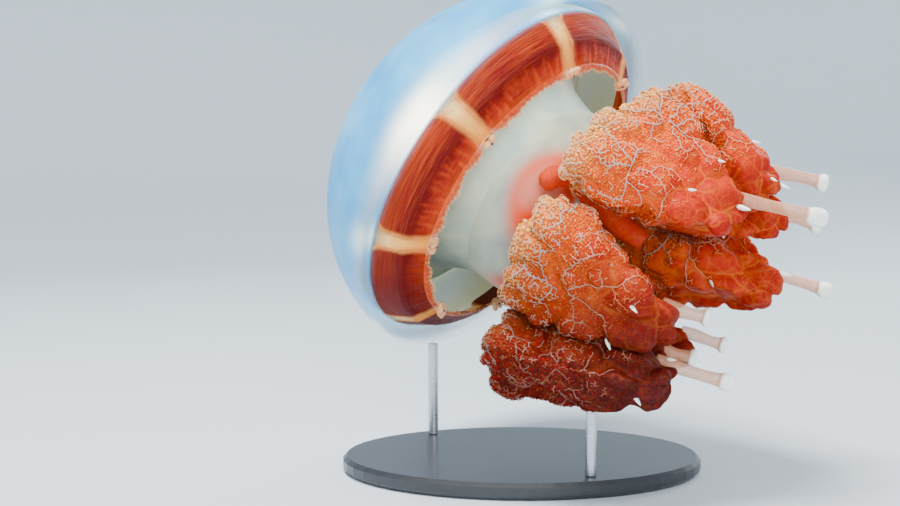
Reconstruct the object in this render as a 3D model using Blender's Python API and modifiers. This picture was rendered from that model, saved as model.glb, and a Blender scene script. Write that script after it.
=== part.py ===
"""A life-size golden lagoon jellyfish (Mastigias papua) in mid-stroke, held on a plain display stand.

The animal is built in millimetres in its own frame: the origin is the centre of the bell's widest ring, +Z runs
along the axis to the crown, and azimuth 0 (+X) is the side turned to the viewer. One matrix then scales it to
metres and sets it over the stand, whose underside lies on Z = 0.
"""

import math
from collections import namedtuple

import bmesh
import bpy
from mathutils import Matrix, Vector

MM = 0.001
OCTANTS = 8
GAP = 0.4  # thin cut between neighbouring pieces

# --- Pose of the animal over its stand --------------------------------------------------------------------------
CROWN_DIRECTION = Vector((-0.711, 0.482, 0.512))
VIEWER_SIDE = Vector((0.0, -0.996, 0.087))
BELL_CENTRE = Vector((-4.0, 12.0, 106.0))

# --- Bell -------------------------------------------------------------------------------------------------------
BELL_RADIUS = 73.0
CROWN_HEIGHT = 61.0
ROOF_HEIGHT = 31.0  # underside of the thick central jelly
DOME_FOOT = -2.5  # outer height of the cut between dome and margin
DOME_STEPS = 48
DOME_ROWS = 9

# --- Margin -----------------------------------------------------------------------------------------------------
MARGIN_RADIUS = 50.8
MARGIN_HEIGHT = -12.4
MARGIN_STEPS = 80
LAPPETS = 40
LAPPET_DEPTH = 1.3
NOTCH_DEPTH = 2.0  # at each of the eight sense organs
NOTCH_WIDTH = math.radians(3.2)
FIRST_NOTCH = math.radians(2.0)

# --- Ring muscle: radius and height of its edges and middle on the inner wall ---------------------------------------
BAND_UPPER = Vector((68.2, 3.4))
BAND_MIDDLE = Vector((62.6, -4.6))
BAND_LOWER = Vector((53.6, -10.4))
BAND_THICKNESS = 0.9
BAND_GAP_UPPER = 7.0  # clear width between two muscle fields
BAND_GAP_LOWER = 4.0
BAND_COLUMNS = 8
BAND_ROWS = 3

# --- Arm disc and oral pillars ------------------------------------------------------------------------------------
DISC_RADIUS = 37.0
DISC_SHIFT = 1.5  # the disc hangs this far off the axis
DISC_TOP = -4.0
DISC_BOTTOM = -31.0
DISC_STEPS = 28
PILLARS = 4
FIRST_PILLAR = math.radians(5.0)
PILLAR_HALF_ANGLE = math.radians(31.0)
PILLAR_INNER = 17.0
PILLAR_OUTER = 32.0
PILLAR_FLARE = 8.0
PILLAR_WAIST = 0.22

# --- Oral arms ------------------------------------------------------------------------------------------------------
ARM_TOP = DISC_BOTTOM - GAP
ARM_TIP_HEIGHT = -95.0  # height at which the azimuths in the table below are those of the tips
NECK_RADIUS = 8.5
NECK_PLACE = 24.0  # how far the necks stand from the axis under the disc
OUTER_LIFT = 10.0  # how much higher the outer frills stand than the inner ones
CLUSTER_LEAN = Vector((4.0, 8.0, 0.0))  # sideways lean of the whole cluster at the tips
WING_SHARE = 0.16
ARM_STEPS_ROUND = 20
ARM_STEPS_LONG = 13
Arm = namedtuple("Arm", "root_azimuth tip_azimuth root_radius tip_radius shoulder tip half_width half_depth")
ARMS = (
    Arm(-78, -66, 51, 38, -44, -105, 26, 22),
    Arm(-25, -38, 39, 32, -36, -97, 24, 19),
    Arm(37, 36, 44, 34, -35, -91, 27, 20),
    Arm(82, 74, 48, 40, -39, -90, 25, 20),
    Arm(120, 108, 40, 36, -38, -94, 22, 18),
    Arm(162, 156, 41, 42, -38, -100, 24, 20),
    Arm(204, 221, 42, 30, -38, -93, 23, 19),
    Arm(246, 262, 46, 26, -38, -92, 23, 19),
)

# --- Terminal clubs ---------------------------------------------------------------------------------------------------
CLUB_TRAIL = Vector((0.95, -0.12, -0.25))  # all of them trail this way over the stand
CLUB_RADIUS = 2.3
CLUB_HEAD = 1.35  # girth of the three-sided head against the shaft
CLUB_ROOT = 10 / 12  # how far down its arm each one starts
CLUB_LENGTHS = (20.0, 9.0, 26.0, 14.0, 13.0, 21.0, 10.0, 10.0)
CLUB_STEPS_ROUND = 6
CLUB_STEPS_LONG = 7

# --- Stand --------------------------------------------------------------------------------------------------------------
BASE_SIZE = Vector((132.0, 82.0, 6.0))
BASE_EDGE = 1.5
ROD_RADIUS = 2.0
ROD_PLACES = ((-33.0, 29.0), (22.0, -31.0))  # under the bell's lowest edge and under the lowest arms

JELLY = ("jelly", (0.66, 0.80, 0.88), 0.25, 0.0)
MUSCLE = ("muscle", (0.55, 0.10, 0.03), 0.45, 0.0)
FROND = ("frond", (0.80, 0.27, 0.12), 0.55, 0.0)
CLUB = ("club", (0.93, 0.90, 0.88), 0.35, 0.0)
BASE = ("base", (0.04, 0.04, 0.045), 0.45, 0.0)
STEEL = ("steel", (0.60, 0.60, 0.60), 0.30, 1.0)


def clear_scene():
    for obj in list(bpy.data.objects):
        bpy.data.objects.remove(obj, do_unlink=True)


def pose_matrix():
    """Takes the animal's own frame, in millimetres, to its place over the stand, in metres."""
    crown = CROWN_DIRECTION.normalized()
    near = (VIEWER_SIDE - VIEWER_SIDE.dot(crown) * crown).normalized()
    turn = Matrix((near, crown.cross(near), crown)).transposed().to_4x4()
    return Matrix.Translation(BELL_CENTRE * MM) @ turn @ Matrix.Scale(MM, 4)


def material(kind):
    name, colour, roughness, metallic = kind
    made = bpy.data.materials.get(name)
    if made is None:
        made = bpy.data.materials.new(name)
        made.use_nodes = True
        shader = made.node_tree.nodes["Principled BSDF"]
        shader.inputs["Base Color"].default_value = (*colour, 1.0)
        shader.inputs["Roughness"].default_value = roughness
        shader.inputs["Metallic"].default_value = metallic
    return made


def add_object(name, shape, kind, collection, matrix):
    """Turns a bmesh in millimetres into one named piece of the model."""
    bmesh.ops.transform(shape, matrix=matrix, verts=shape.verts)
    bmesh.ops.recalc_face_normals(shape, faces=shape.faces)
    mesh = bpy.data.meshes.new(name)
    shape.to_mesh(mesh)
    shape.free()
    mesh.shade_smooth()
    mesh.materials.append(material(kind))
    obj = bpy.data.objects.new(name, mesh)
    collection.objects.link(obj)
    return obj


def ring_point(radius, azimuth, height):
    return Vector((radius * math.cos(azimuth), radius * math.sin(azimuth), height))


def azimuth_of(co):
    return math.atan2(co.y, co.x)


def mix(a, b, share):
    return a + (b - a) * share


def smooth(low, high, value):
    share = min(max((value - low) / (high - low), 0.0), 1.0)
    return share * share * (3 - 2 * share)


def turned(profile, steps, closed=False):
    """A closed shape turned from a profile of (radius, height) pairs, by the Screw modifier."""
    mesh = bpy.data.meshes.new("profile")
    count = len(profile)
    edges = [(i, (i + 1) % count) for i in range(count if closed else count - 1)]
    mesh.from_pydata([(radius, 0.0, height) for radius, height in profile], edges, [])
    guide = bpy.data.objects.new("profile", mesh)
    bpy.context.scene.collection.objects.link(guide)
    screw = guide.modifiers.new("turn", "SCREW")
    screw.steps = screw.render_steps = steps
    screw.use_merge_vertices = True
    screw.merge_threshold = 0.0001
    bpy.context.view_layer.update()
    shape = bmesh.new()
    shape.from_object(guide, bpy.context.evaluated_depsgraph_get())
    bmesh.ops.remove_doubles(shape, verts=shape.verts, dist=0.0001)
    bpy.data.objects.remove(guide, do_unlink=True)
    return shape


# --- Bell and margin ----------------------------------------------------------------------------------------------------
def build_dome(collection, matrix):
    """The thick central jelly: an elliptic outer curve, a flat-footed cut, the side wall and the roof."""
    outer = []
    for row in range(DOME_ROWS + 1):
        angle = math.pi / 2 * row / DOME_ROWS
        outer.append((BELL_RADIUS * math.sin(angle), CROWN_HEIGHT * math.cos(angle)))
    foot = [(BELL_RADIUS - 0.3, DOME_FOOT), (BAND_UPPER.x, BAND_UPPER.y + GAP)]
    roof = [(67.6, 9.5), (63.5, 17.0), (56.0, 23.6), (45.0, 28.0), (30.0, 30.2), (14.0, 31.0), (0.0, ROOF_HEIGHT)]
    return add_object("bell_dome", turned(outer + foot + roof, DOME_STEPS), JELLY, collection, matrix)


def notch_share(azimuth):
    """1 at a sense organ, falling to 0 a few degrees away."""
    pitch = 2 * math.pi / OCTANTS
    off = (azimuth - FIRST_NOTCH + pitch / 2) % pitch - pitch / 2
    return math.exp(-((off / NOTCH_WIDTH) ** 2))


def lappet_share(azimuth):
    """0 in the clefts between the marginal lappets, 1 at their tips."""
    return 0.5 - 0.5 * math.cos(LAPPETS * (azimuth - FIRST_NOTCH))


def build_margin(collection, matrix):
    """The ring of jelly that carries the muscle, with its inward lip cut into lappets and notches."""
    rim = [(BELL_RADIUS - 0.4, DOME_FOOT - GAP), (69.6, -6.0), (64.9, -9.6), (59.6, -12.3), (54.6, -13.5)]
    lip = [(MARGIN_RADIUS, MARGIN_HEIGHT - 1.0), (MARGIN_RADIUS + 0.3, MARGIN_HEIGHT + 0.6)]
    wall = [BAND_LOWER, BAND_MIDDLE, BAND_MIDDLE.lerp(BAND_UPPER, 0.5) + Vector((0.8, -0.6)), BAND_UPPER]
    shape = turned(rim + lip + [tuple(point) for point in wall], MARGIN_STEPS, closed=True)
    for vert in shape.verts:
        radius, azimuth = vert.co.xy.length, azimuth_of(vert.co)
        notch = notch_share(azimuth)
        push = NOTCH_DEPTH * notch - LAPPET_DEPTH * (1 - notch) * lappet_share(azimuth)
        push *= 1 - smooth(MARGIN_RADIUS, MARGIN_RADIUS + 5, radius)
        vert.co = ring_point(radius + push, azimuth, vert.co.z + push * 0.6)
    return add_object("bell_margin", shape, JELLY, collection, matrix)


# --- Ring muscle ----------------------------------------------------------------------------------------------------------
def band_point(share):
    """Radius and height between the band's upper edge (0) and lower edge (1), lifted off the wall."""
    first, second = (BAND_UPPER, BAND_MIDDLE) if share < 0.5 else (BAND_MIDDLE, BAND_LOWER)
    along = (second - first).normalized()
    place = first.lerp(second, share * 2 if share < 0.5 else share * 2 - 1)
    return place + Vector((along.y, -along.x)) * (GAP + 0.2)


def build_muscle(index, collection, matrix):
    """One field of ring muscle between two sense organs: a curved sheet with the band's thickness."""
    shape = bmesh.new()
    bmesh.ops.create_grid(shape, x_segments=BAND_COLUMNS, y_segments=BAND_ROWS, size=0.5)
    pitch = 2 * math.pi / OCTANTS
    first = FIRST_NOTCH + index * pitch
    for vert in shape.verts:
        across = vert.co.y + 0.5
        place = band_point(mix(0.02, 0.97, across))
        clear = mix(BAND_GAP_UPPER, BAND_GAP_LOWER, across) / 2 / place.x
        vert.co = ring_point(place.x, mix(first + clear, first + pitch - clear, vert.co.x + 0.5), place.y)
    obj = add_object(f"muscle_{index + 1}", shape, MUSCLE, collection, matrix)
    middle = obj.data.polygons[len(obj.data.polygons) // 2]
    inwards = (matrix.translation - middle.center).dot(middle.normal) > 0
    solid = obj.modifiers.new("thickness", "SOLIDIFY")
    solid.thickness = BAND_THICKNESS * MM
    solid.offset = 1.0 if inwards else -1.0
    return obj


# --- Arm disc and pillars ---------------------------------------------------------------------------------------------------
def build_disc(collection, matrix):
    radius, top, bottom = DISC_RADIUS, DISC_TOP, DISC_BOTTOM
    upper = [(0.0, top), (22.0, top - 0.2), (radius - 4.0, top - 1.6), (radius - 0.6, top - 5.0), (radius, top - 10.0)]
    lower = [(radius - 0.4, bottom + 8.0), (radius - 2.0, bottom + 2.5), (radius - 5.5, bottom), (0.0, bottom)]
    shape = turned(upper + lower, DISC_STEPS)
    bmesh.ops.translate(shape, vec=(0.0, DISC_SHIFT, 0.0), verts=shape.verts)
    return add_object("arm_disc", shape, JELLY, collection, matrix)


def roof_height(radius):
    """Height of the bell's roof over a radius inside the cavity."""
    return ROOF_HEIGHT - 3.2 * (radius / 45.0) ** 2.6


def build_pillar(index, collection, matrix):
    """One oral pillar: a curved wall from the arm disc up to the roof, waisted and flaring as it rises."""
    shape = bmesh.new()
    bmesh.ops.create_cube(shape, size=1.0)
    bmesh.ops.subdivide_edges(shape, edges=shape.edges, cuts=3, use_grid_fill=True)
    middle = FIRST_PILLAR + index * 2 * math.pi / PILLARS
    for vert in shape.verts:
        inwards, sideways, up = vert.co.x + 0.5, vert.co.y * 2, vert.co.z + 0.5
        waist = math.sin(math.pi * up)
        radius = mix(PILLAR_INNER, PILLAR_OUTER + PILLAR_FLARE * up**2, inwards) - 2.0 * waist * inwards
        azimuth = middle + PILLAR_HALF_ANGLE * (1 - PILLAR_WAIST * waist) * sideways * (1 - 0.1 * inwards)
        foot = DISC_TOP + GAP
        vert.co = ring_point(radius, azimuth, mix(foot, roof_height(radius) - 2 * GAP, up))
    return add_object(f"pillar_{index + 1}", shape, JELLY, collection, matrix)


# --- Oral arms ----------------------------------------------------------------------------------------------------------------
def height_share(height):
    return min(max((ARM_TOP - height) / (ARM_TOP - ARM_TIP_HEIGHT), 0.0), 1.2)


def cluster_centre(height):
    return CLUSTER_LEAN * height_share(height)


def arm_azimuth(index, height):
    arm = ARMS[index % len(ARMS)]
    return math.radians(mix(arm.root_azimuth, arm.tip_azimuth, height_share(height)))


def keep_in_wedge(co, index):
    """Moves a point back inside the wedge that this arm has to itself, so that pressed arms never overlap."""
    own = arm_azimuth(index, co.z)
    low = own - (own - arm_azimuth(index - 1, co.z)) % (2 * math.pi) / 2
    high = own + (arm_azimuth(index + 1, co.z) - own) % (2 * math.pi) / 2
    centre = cluster_centre(co.z)
    radius = (co - centre).xy.length
    margin = math.asin(min(GAP / radius, 0.9))
    azimuth = own + (azimuth_of(co - centre) - own + math.pi) % (2 * math.pi) - math.pi
    azimuth = min(max(azimuth, low + margin), high - margin)
    return centre + ring_point(radius, azimuth, co.z)


def frill_girth(share):
    """Relative girth of an arm's frilled part, from its shoulder (0) to its tip (1)."""
    taper = mix(1.0, 0.42, smooth(0.15, 1.0, share))
    top = math.sqrt(max(1 - (1 - min(share / 0.18, 1.0)) ** 2, 0.0))
    tip = math.sqrt(max(1 - max((share - 0.82) / 0.18, 0.0) ** 2, 0.0))
    return taper * top * tip


def wing_form(angle):
    """Three wings: two turned outwards with a groove between them, and one inwards."""
    return 1 + WING_SHARE * math.cos(3 * (angle - math.pi / 3))


def arm_point(index, share, angle):
    """A point on an arm: share runs from the disc (0) to the tip (1), angle goes round from its outer side."""
    arm = ARMS[index]
    height = mix(ARM_TOP, arm.tip, share)
    own = arm_azimuth(index, height)
    outward, across = ring_point(1, own, 0), ring_point(1, own + math.pi / 2, 0)
    frill = max((arm.shoulder - height) / (arm.shoulder - arm.tip), 0.0)
    girth = frill_girth(frill) * wing_form(angle)
    least = NECK_RADIUS if frill < 0.5 else 0.0
    depth, width = max(girth * arm.half_depth, least), max(girth * arm.half_width, least)
    place = mix(NECK_PLACE, mix(arm.root_radius, arm.tip_radius, frill), smooth(0.0, 0.12, frill))
    co = cluster_centre(height) + (place + depth * math.cos(angle)) * outward + width * math.sin(angle) * across
    lift = smooth(DISC_RADIUS + 1, DISC_RADIUS + 22, co.xy.length) * (1 - smooth(0, 0.6, frill))
    co.z = height + OUTER_LIFT * lift
    return keep_in_wedge(co, index)


def sphere_row(vert, rows):
    return round(math.acos(min(max(vert.co.z, -1), 1)) / math.pi * rows)


def build_arm(index, collection, matrix):
    """One oral arm: a short smooth neck under the disc, then the broad frilled part that tapers to its tip."""
    shape = bmesh.new()
    bmesh.ops.create_uvsphere(shape, u_segments=ARM_STEPS_ROUND, v_segments=ARM_STEPS_LONG, radius=1.0)
    for vert in shape.verts:
        row = sphere_row(vert, ARM_STEPS_LONG)
        if row == 0:
            vert.co = ring_point(NECK_PLACE, arm_azimuth(index, ARM_TOP), ARM_TOP)
        else:
            vert.co = arm_point(index, (row - 1) / (ARM_STEPS_LONG - 1), azimuth_of(vert.co))
    return add_object(f"arm_{index + 1}", shape, FROND, collection, matrix)


# --- Terminal clubs -------------------------------------------------------------------------------------------------------------
def club_girth(share):
    """A waisted shaft with a swollen head that ends in a blunt point."""
    shaft = 1 - 0.15 * math.sin(math.pi * min(share / 0.7, 1.0))
    head = CLUB_HEAD * math.exp(-(((share - 0.80) / 0.12) ** 2))
    return max(shaft, head) * (1 - 0.8 * smooth(0.84, 1.0, share))


def build_club(index, collection, matrix):
    """The three-sided club that hangs from the tip of an arm."""
    trail = (matrix.to_3x3().inverted() @ CLUB_TRAIL).normalized()
    start = arm_point(index, CLUB_ROOT, azimuth_of(trail) - arm_azimuth(index, ARMS[index].tip))
    start += trail * (CLUB_RADIUS + GAP)
    turn = trail.to_track_quat("Z", "Y").to_matrix()
    shape = bmesh.new()
    bmesh.ops.create_uvsphere(shape, u_segments=CLUB_STEPS_ROUND, v_segments=CLUB_STEPS_LONG, radius=1.0)
    for vert in shape.verts:
        row, angle = sphere_row(vert, CLUB_STEPS_LONG), azimuth_of(vert.co)
        share = max(row - 1, 0) / (CLUB_STEPS_LONG - 1)
        girth = 0.0 if row in (0, CLUB_STEPS_LONG) else club_girth(share) * (1 + 0.2 * share * math.cos(3 * angle))
        vert.co = start + turn @ ring_point(girth * CLUB_RADIUS, angle, share * CLUB_LENGTHS[index])
    return add_object(f"club_{index + 1}", shape, CLUB, collection, matrix)


# --- Stand ------------------------------------------------------------------------------------------------------------------------
def build_base(collection, matrix):
    """An oval plate with a small bevel top and bottom."""
    half, inner, height = 0.5, 0.5 - BASE_EDGE / BASE_SIZE.x, BASE_SIZE.z
    profile = [(0.0, height), (inner, height), (half, height - BASE_EDGE), (half, BASE_EDGE), (inner, 0.0), (0.0, 0.0)]
    shape = turned(profile, DOME_STEPS)
    bmesh.ops.scale(shape, vec=(BASE_SIZE.x, BASE_SIZE.y, 1.0), verts=shape.verts)
    return add_object("stand_base", shape, BASE, collection, matrix)


def clear_height(pieces, x, y):
    """Height in millimetres at which a rod standing at x, y stops just under the lowest piece above it."""
    heights = []
    for step in range(12):
        rim = ring_point(ROD_RADIUS + GAP / 2, step * math.pi / 6, BASE_SIZE.z + GAP)
        start = (Vector((x, y, 0.0)) + rim) * MM
        for piece in pieces:
            hit, place, _, _ = piece.ray_cast(start, Vector((0.0, 0.0, 1.0)))
            if hit:
                heights.append(place.z / MM)
    return min(heights) - GAP


def build_rod(index, pieces, collection, matrix):
    """A round rod from the base up to the animal."""
    x, y = ROD_PLACES[index]
    foot = BASE_SIZE.z + GAP
    length = clear_height(pieces, x, y) - foot
    shape = bmesh.new()
    bmesh.ops.create_cone(shape, cap_ends=True, segments=16, radius1=ROD_RADIUS, radius2=ROD_RADIUS, depth=length)
    bmesh.ops.translate(shape, vec=(x, y, foot + length / 2), verts=shape.verts)
    return add_object(f"stand_rod_{index + 1}", shape, STEEL, collection, matrix)


def main():
    clear_scene()
    collection = bpy.data.collections.new("lagoon_jellyfish")
    bpy.context.scene.collection.children.link(collection)
    pose = pose_matrix()
    build_dome(collection, pose)
    build_margin(collection, pose)
    build_disc(collection, pose)
    for index in range(OCTANTS):
        build_muscle(index, collection, pose)
    for index in range(PILLARS):
        build_pillar(index, collection, pose)
    for index in range(len(ARMS)):
        build_arm(index, collection, pose)
        build_club(index, collection, pose)
    animal = list(collection.objects)
    upright = Matrix.Scale(MM, 4)
    build_base(collection, upright)
    for index in range(len(ROD_PLACES)):
        build_rod(index, animal, collection, upright)


main()
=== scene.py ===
"""The looks of a life-size golden lagoon jellyfish (Mastigias papua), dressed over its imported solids.

Shapes are worked out in millimetres in the animal's own frame: the origin is the centre of the bell's
widest ring, +Z runs along the axis to the crown, and azimuth 0 (+X) is the side turned to the viewer.
POSE takes them to the stand.
"""

import math
from collections import namedtuple

import bmesh
import bpy
import numpy as np
from mathutils import Matrix, Vector, kdtree, noise
from mathutils.bvhtree import BVHTree


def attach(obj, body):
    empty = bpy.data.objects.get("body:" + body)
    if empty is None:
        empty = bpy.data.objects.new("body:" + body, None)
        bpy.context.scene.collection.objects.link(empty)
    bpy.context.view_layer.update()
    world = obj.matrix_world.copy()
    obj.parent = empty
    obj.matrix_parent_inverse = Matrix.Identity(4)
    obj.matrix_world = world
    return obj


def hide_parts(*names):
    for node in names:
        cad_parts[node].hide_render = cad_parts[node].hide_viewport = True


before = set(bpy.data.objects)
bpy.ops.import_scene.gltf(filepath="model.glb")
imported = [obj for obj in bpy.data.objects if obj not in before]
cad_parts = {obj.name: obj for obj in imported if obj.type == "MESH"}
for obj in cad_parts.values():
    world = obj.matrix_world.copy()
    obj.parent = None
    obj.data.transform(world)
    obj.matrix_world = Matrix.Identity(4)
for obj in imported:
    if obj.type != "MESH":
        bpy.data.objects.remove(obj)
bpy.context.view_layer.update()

UV_MAP = "OFBake"
MM = 0.001
WELD = 1e-6  # points nearer than this (m) become one
OCTANTS = 8
ARMS = 8
PILLARS = 4
TURN = 2 * math.pi

# --- Pose, as the solids have it ---
CROWN_DIRECTION = Vector((-0.711, 0.482, 0.512))
VIEWER_SIDE = Vector((0.0, -0.996, 0.087))
BELL_CENTRE = Vector((-4.0, 12.0, 106.0))

# --- Bell (mm) ---
BELL_RADIUS = 73.0
CROWN_HEIGHT = 61.0
BELL_STEPS = 240
BELL_ROWS = 150
RIM = (
    (72.6, -2.9), (69.6, -6.0), (64.9, -9.6), (59.6, -12.3),
    (54.6, -13.5), (50.8, -13.4), (51.1, -11.8),
)
WALL = ((53.6, -10.4), (62.6, -4.6), (66.2, -1.2), (68.2, 3.6), (67.6, 9.5), (63.5, 17.0))
ROOF = ((56.0, 23.6), (45.0, 28.0), (30.0, 30.2), (14.0, 31.0), (0.0, 31.0))
MARGIN_RADIUS = 50.8
LAPPETS = 40
FIRST_NOTCH = math.radians(2.0)
NOTCH_WIDTH = math.radians(3.2)
GAP_DEGREES = [math.degrees(FIRST_NOTCH) + 360 / OCTANTS * octant for octant in range(OCTANTS)]
DEPTH_SHARE = 0.955  # the inner layer's radius, of the bell's
DEPTH_FOOT = 4.0
DEPTH_BELOW = 10.0  # how far it lies below the crown

# --- Ring muscle (mm) ---
BAND = ((68.2, 3.4), (62.6, -4.6), (53.6, -10.4))
BAND_LIFT = 0.6
BAND_GAP_UPPER = 6.4
BAND_GAP_LOWER = 3.6
BAND_COLUMNS = 150
BAND_ROWS = 36
BAND_THICKNESS = 0.7
BAND_WIDTH = 22.0
BAND_RADIUS = 60.0  # about where the fields lie; it turns azimuths into lengths
GAP_ROWS = 30
GAP_COLUMNS = 14
GAP_THICKNESS = 0.5
FRILL_ROWS = 7
FRILL_STEPS = 1440
FRILL_THICKNESS = 0.25
MEMBRANE_THICKNESS = 0.8

# --- Arms and disc (mm) ---
ARM_TOP = -31.4
DISC_SHIFT = 1.5
FIRST_PILLAR = math.radians(5.0)
GONAD_TURN = math.radians(1.0)
GONAD_WIDTH = math.radians(28.0)
ROUNDING = 2  # rounds of subdivision on a solid
SKIN_CELL = 0.68
COAT_DEPTH = 1.0
OPEN_ARM = 3  # the arm whose inner face shows between the others
BUD_SIZES = (0.52, 0.98)
BUD_SIDES = 7
COAT_FACING = -0.05  # the least outwardness of skin that has mouthlets and canals
OPEN_FACING = -0.8  # the same on the open arm
BUD_REACH = 0.78  # how far down an arm, as a share, the mouthlets go
START_REACH = (0.2, 0.5)
CANAL_REACH = (0.15, 0.74)
START_SPACING = 24.0
TRUNK_SPACING = 5.0
TRUNK_REACH = 40.0
TWIG_SPACING = 0.68
TWIG_REACH = 4.2
STAR_SPACING = 3.8
TRUNK_STEP = 0.8
TWIG_STEP = 0.45
PATCH_RADIUS = 0.0015  # of each tuft's place on the unwrap
CANAL_RADII = (0.12, 0.27)
CANAL_LENGTHS = (0.05, 1.6)  # shorter ones have no area, and longer ones would bridge a fold
PURITY = 1.35  # how much the paints are made purer
MEMBRANE = (
    (33.0, -19.0), (35.6, -14.0), (36.8, -8.5), (38.8, -2.0),
    (42.5, 5.0), (48.5, 11.0), (55.0, 15.5), (61.5, 18.6),
)
LOBE_PATH = (
    (40.5, 1.0, -29.0), (39.0, 7.0, -31.5), (34.5, 9.5, -37.0),
    (29.0, 8.5, -43.0), (22.0, 8.0, -50.0), (16.0, 8.0, -60.0),
)
LOBE_GIRTHS = ((0.0, 3.4), (0.12, 3.8), (0.3, 2.6), (0.5, 4.2), (0.75, 4.6), (1.0, 3.6))
CLUB_ROOT = 7.0  # how far each club runs back into its arm
CLUB_RADIUS = 2.3
CLUB_ROWS = 56
CLUB_STEPS = 24
CLUB_DIRECTION = (0.95, -0.12, -0.25)  # in the world
GRAIN_REACH = (0.70, 0.95)
GRAIN_SPACING = 17.0

# --- Stage (m) ---
COVE_RADIUS = 1.4
COVE_HEIGHT = 1.6
CAMERA_PLACE = (-0.0264, -0.4253, 0.1174)
CAMERA_TURN = (math.radians(85.0), 0.0, 0.0)
CAMERA_LENS = 46.8
STUDIO_COLOUR = (0.92, 0.93, 0.95, 1.0)
STUDIO_STRENGTH = 0.5
LIGHT_TARGET = (0.02, 0.0, 0.09)
LIGHTS = (  # name, place, size, power (W)
    ("key", (-0.25, -0.15, 1.0), 0.40, 23.5),
    ("fill", (0.1, -1.0, 0.5), 0.5, 10.0),
    ("back", (0.6, 0.7, 0.6), 0.5, 6.0),
)


def pose_matrix():
    """Takes the animal's own frame, in millimetres, to its place over the stand, in metres."""
    crown = CROWN_DIRECTION.normalized()
    near = (VIEWER_SIDE - VIEWER_SIDE.dot(crown) * crown).normalized()
    turn = Matrix((near, crown.cross(near), crown)).transposed().to_4x4()
    return Matrix.Translation(BELL_CENTRE * MM) @ turn @ Matrix.Scale(MM, 4)


POSE = pose_matrix()
POSE_TURN = np.array(POSE.to_3x3())
POSE_SHIFT = np.array(POSE.translation)


def to_world(points):
    return np.asarray(points) @ POSE_TURN.T + POSE_SHIFT


def to_animal(points):
    return (np.asarray(points) - POSE_SHIFT) @ np.linalg.inv(POSE_TURN).T


# --- Meshes ---
def new_mesh(name, points, faces):
    """A smooth mesh from arrays of points (metres) and of faces with equal numbers of corners."""
    mesh = bpy.data.meshes.new(name)
    mesh.vertices.add(len(points))
    mesh.vertices.foreach_set("co", np.asarray(points, np.float32).ravel())
    mesh.loops.add(faces.size)
    mesh.loops.foreach_set("vertex_index", np.asarray(faces, np.int32).ravel())
    mesh.polygons.add(len(faces))
    mesh.polygons.foreach_set("loop_start", np.arange(0, faces.size, faces.shape[1], dtype=np.int32))
    mesh.update(calc_edges=True)
    mesh.shade_smooth()
    return mesh


def add_piece(name, mesh, material):
    """Puts a mesh in the scene as a piece that rides on the body."""
    piece = bpy.data.objects.new(name, mesh)
    bpy.context.scene.collection.objects.link(piece)
    mesh.materials.clear()
    mesh.materials.append(material)
    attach(piece, "root")
    return piece


def set_values(mesh, **values):
    for name, numbers in values.items():
        layer = mesh.attributes.new(name, "FLOAT", "POINT")
        layer.data.foreach_set("value", np.asarray(numbers, np.float32))


def set_uv(mesh, places):
    """Writes a bake map from one (u, v) for each face corner."""
    layer = mesh.uv_layers.new(name=UV_MAP)
    layer.data.foreach_set("uv", np.asarray(places, np.float32).ravel())


def vertex_vectors(mesh, kind):
    """The vertices' places, "co", or their directions, "normal"."""
    vectors = np.empty(len(mesh.vertices) * 3, np.float32)
    mesh.vertices.foreach_get(kind, vectors)
    return vectors.reshape(-1, 3).astype(float)


def mesh_quads(mesh):
    corners = np.empty(len(mesh.loops), np.int32)
    mesh.loops.foreach_get("vertex_index", corners)
    return corners.reshape(-1, 4)


def evaluated_mesh(guide):
    """The guide's shape after its modifiers, as a mesh; the guide goes."""
    bpy.context.view_layer.update()
    graph = bpy.context.evaluated_depsgraph_get()
    mesh = bpy.data.meshes.new_from_object(guide.evaluated_get(graph))
    bpy.data.objects.remove(guide, do_unlink=True)
    return mesh


def guide_object(mesh):
    guide = bpy.data.objects.new("guide", mesh)
    bpy.context.scene.collection.objects.link(guide)
    return guide


def welded(mesh):
    """Joins the mesh's equal points and turns its faces outward."""
    shape = bmesh.new()
    shape.from_mesh(mesh)
    bmesh.ops.remove_doubles(shape, verts=shape.verts, dist=WELD)
    bmesh.ops.recalc_face_normals(shape, faces=shape.faces)
    shape.to_mesh(mesh)
    shape.free()
    mesh.shade_smooth()
    return mesh


def joined(parts):
    """Several (points, faces) as one."""
    points = np.vstack([part[0] for part in parts])
    starts = np.cumsum([0] + [len(part[0]) for part in parts[:-1]])
    return points, np.vstack([part[1] + start for part, start in zip(parts, starts)])


def thicken(piece, thickness, offset=-1.0):
    """Gives a sheet its thickness (mm): inward, or to both sides with an offset of 0."""
    solid = piece.modifiers.new("thickness", "SOLIDIFY")
    solid.thickness = thickness * MM
    solid.offset = offset


# --- Numbers ---
def smooth(low, high, value):
    """0 up to low, 1 from high on, and an even curve between them."""
    share = np.clip((value - low) / (high - low), 0.0, 1.0)
    return share * share * (3 - 2 * share)


def mix(a, b, share):
    return a + (b - a) * share


def unit(vectors):
    return vectors / np.maximum(np.linalg.norm(vectors, axis=-1, keepdims=True), 1e-12)


def azimuth_of(points):
    return np.arctan2(points[:, 1], points[:, 0])


def radius_of(points):
    return np.linalg.norm(points[:, :2], axis=1)


def ring_points(radius, azimuth, height):
    return np.stack((radius * np.cos(azimuth), radius * np.sin(azimuth), height + 0 * azimuth), axis=-1)


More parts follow.
